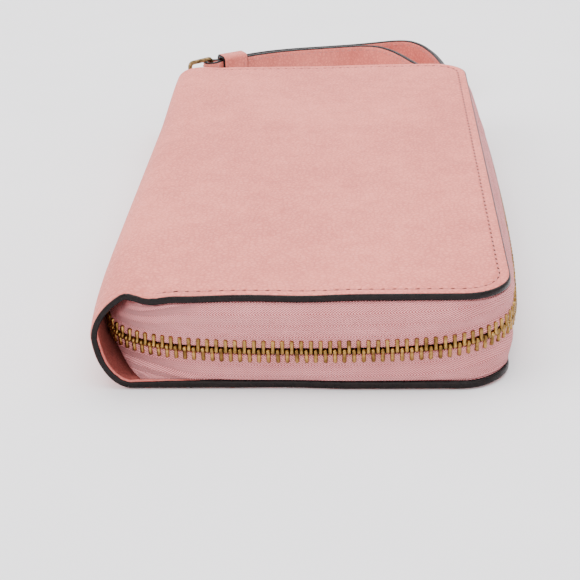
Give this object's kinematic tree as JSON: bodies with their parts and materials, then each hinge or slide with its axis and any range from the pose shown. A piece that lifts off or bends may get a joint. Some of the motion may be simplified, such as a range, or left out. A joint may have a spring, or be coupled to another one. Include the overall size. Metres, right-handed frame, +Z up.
{
  "type": "long zip-around wallet",
  "caption": "Long pink leather zip-around wallet with brass zip, card pockets, gusseted coin pocket and a leather wrist strap on the slider.",
  "frame": {"origin": "underside of the lower cover, in the middle of the covers", "axes": "+X from the spine to the mouth, +Y along the spine to the end where the slider is parked, +Z up through the closed wallet"},
  "size_m": [0.11, 0.2761, 0.025],
  "materials": {
    "cover_leather": "satin",
    "lining_leather": "matt",
    "board": "matt",
    "zip_tape": "matt",
    "zip_metal": "polished"
  },
  "bodies": {
    "lower_case": {"cover_leather_lower": "cover_leather", "cover_board_lower": "board", "cover_lining_lower": "lining_leather", "card_base_lower": "lining_leather", "card_row_lower_1": "lining_leather", "card_row_lower_2": "lining_leather", "card_row_lower_3": "lining_leather", "zip_tape_lower": "zip_tape", "zip_teeth_lower": "zip_metal", "zip_top_stop_lower": "zip_metal", "zip_bottom_stop": "zip_metal", "gusset_near_lower": "zip_tape", "gusset_far_lower": "zip_tape"},
    "upper_case": {"cover_leather_upper": "cover_leather", "cover_board_upper": "board", "cover_lining_upper": "lining_leather", "card_base_upper": "lining_leather", "card_row_upper_1": "lining_leather", "card_row_upper_2": "lining_leather", "card_row_upper_3": "lining_leather", "zip_tape_upper": "zip_tape", "zip_teeth_upper": "zip_metal", "zip_top_stop_upper": "zip_metal", "gusset_near_upper": "zip_tape", "gusset_far_upper": "zip_tape"},
    "coin_leaf": {"coin_sheet_lower": "lining_leather", "coin_sheet_upper": "lining_leather", "coin_fold": "lining_leather", "coin_end_near": "lining_leather", "coin_end_far": "lining_leather", "coin_tape_lower": "zip_tape", "coin_tape_upper": "zip_tape", "coin_teeth_lower": "zip_metal", "coin_teeth_upper": "zip_metal", "coin_stop_near": "zip_metal", "coin_stop_far": "zip_metal"},
    "zip_slider": {"slider_body": "zip_metal", "slider_bridge": "zip_metal"},
    "zip_pull": {"pull_plate": "zip_metal"},
    "bail": {"strap_bail": "zip_metal"},
    "wrist_strap": {"strap_loop": "cover_leather", "strap_keeper": "cover_leather"},
    "coin_zip_slider": {"coin_slider_body": "zip_metal", "coin_slider_bridge": "zip_metal"},
    "coin_zip_pull": {"coin_pull": "zip_metal"}
  },
  "joints": [
    {"name": "case_open", "type": "hinge", "parent": "lower_case", "child": "upper_case", "pos_m": [-0.0525, 0, 0.0125], "axis": [0, -1, 0], "range_deg": [0, 60], "deforming": ["gusset_near_upper", "gusset_far_upper"]},
    {"name": "leaf_open", "type": "hinge", "parent": "lower_case", "child": "coin_leaf", "pos_m": [-0.0525, 0, 0.0125], "axis": [0, -1, 0], "range_deg": [0, 30], "deforming": ["gusset_near_lower", "gusset_far_lower"]},
    {"name": "slider_travel", "type": "slide", "parent": "lower_case", "child": "zip_slider", "axis": [1, 0, 0], "range_m": [0, 0.073]},
    {"name": "pull_swing", "type": "hinge", "parent": "zip_slider", "child": "zip_pull", "pos_m": [-0.04, 0.10185, 0.0123], "axis": [0, 0, 1], "range_deg": [-12, 50]},
    {"name": "bail_swing", "type": "hinge", "parent": "zip_pull", "child": "bail", "pos_m": [-0.04986, 0.12039, 0.0123], "axis": [0, 0, -1], "range_deg": [-100, 12]},
    {"name": "strap_swing", "type": "hinge", "parent": "bail", "child": "wrist_strap", "pos_m": [-0.04231, 0.12695, 0.0123], "axis": [0, 0, -1], "range_deg": [-90, 12]},
    {"name": "coin_slider_travel", "type": "slide", "parent": "coin_leaf", "child": "coin_zip_slider", "axis": [0, 1, 0], "range_m": [0, 0.15]},
    {"name": "coin_pull_swing", "type": "hinge", "parent": "coin_zip_slider", "child": "coin_zip_pull", "pos_m": [0.0396, -0.07725, 0.0125], "axis": [0, 0, -1], "range_deg": [0, 90]}
  ],
  "couplings": [
    {"joint": "leaf_open", "follows": "case_open", "ratio": 0.5}
  ]
}
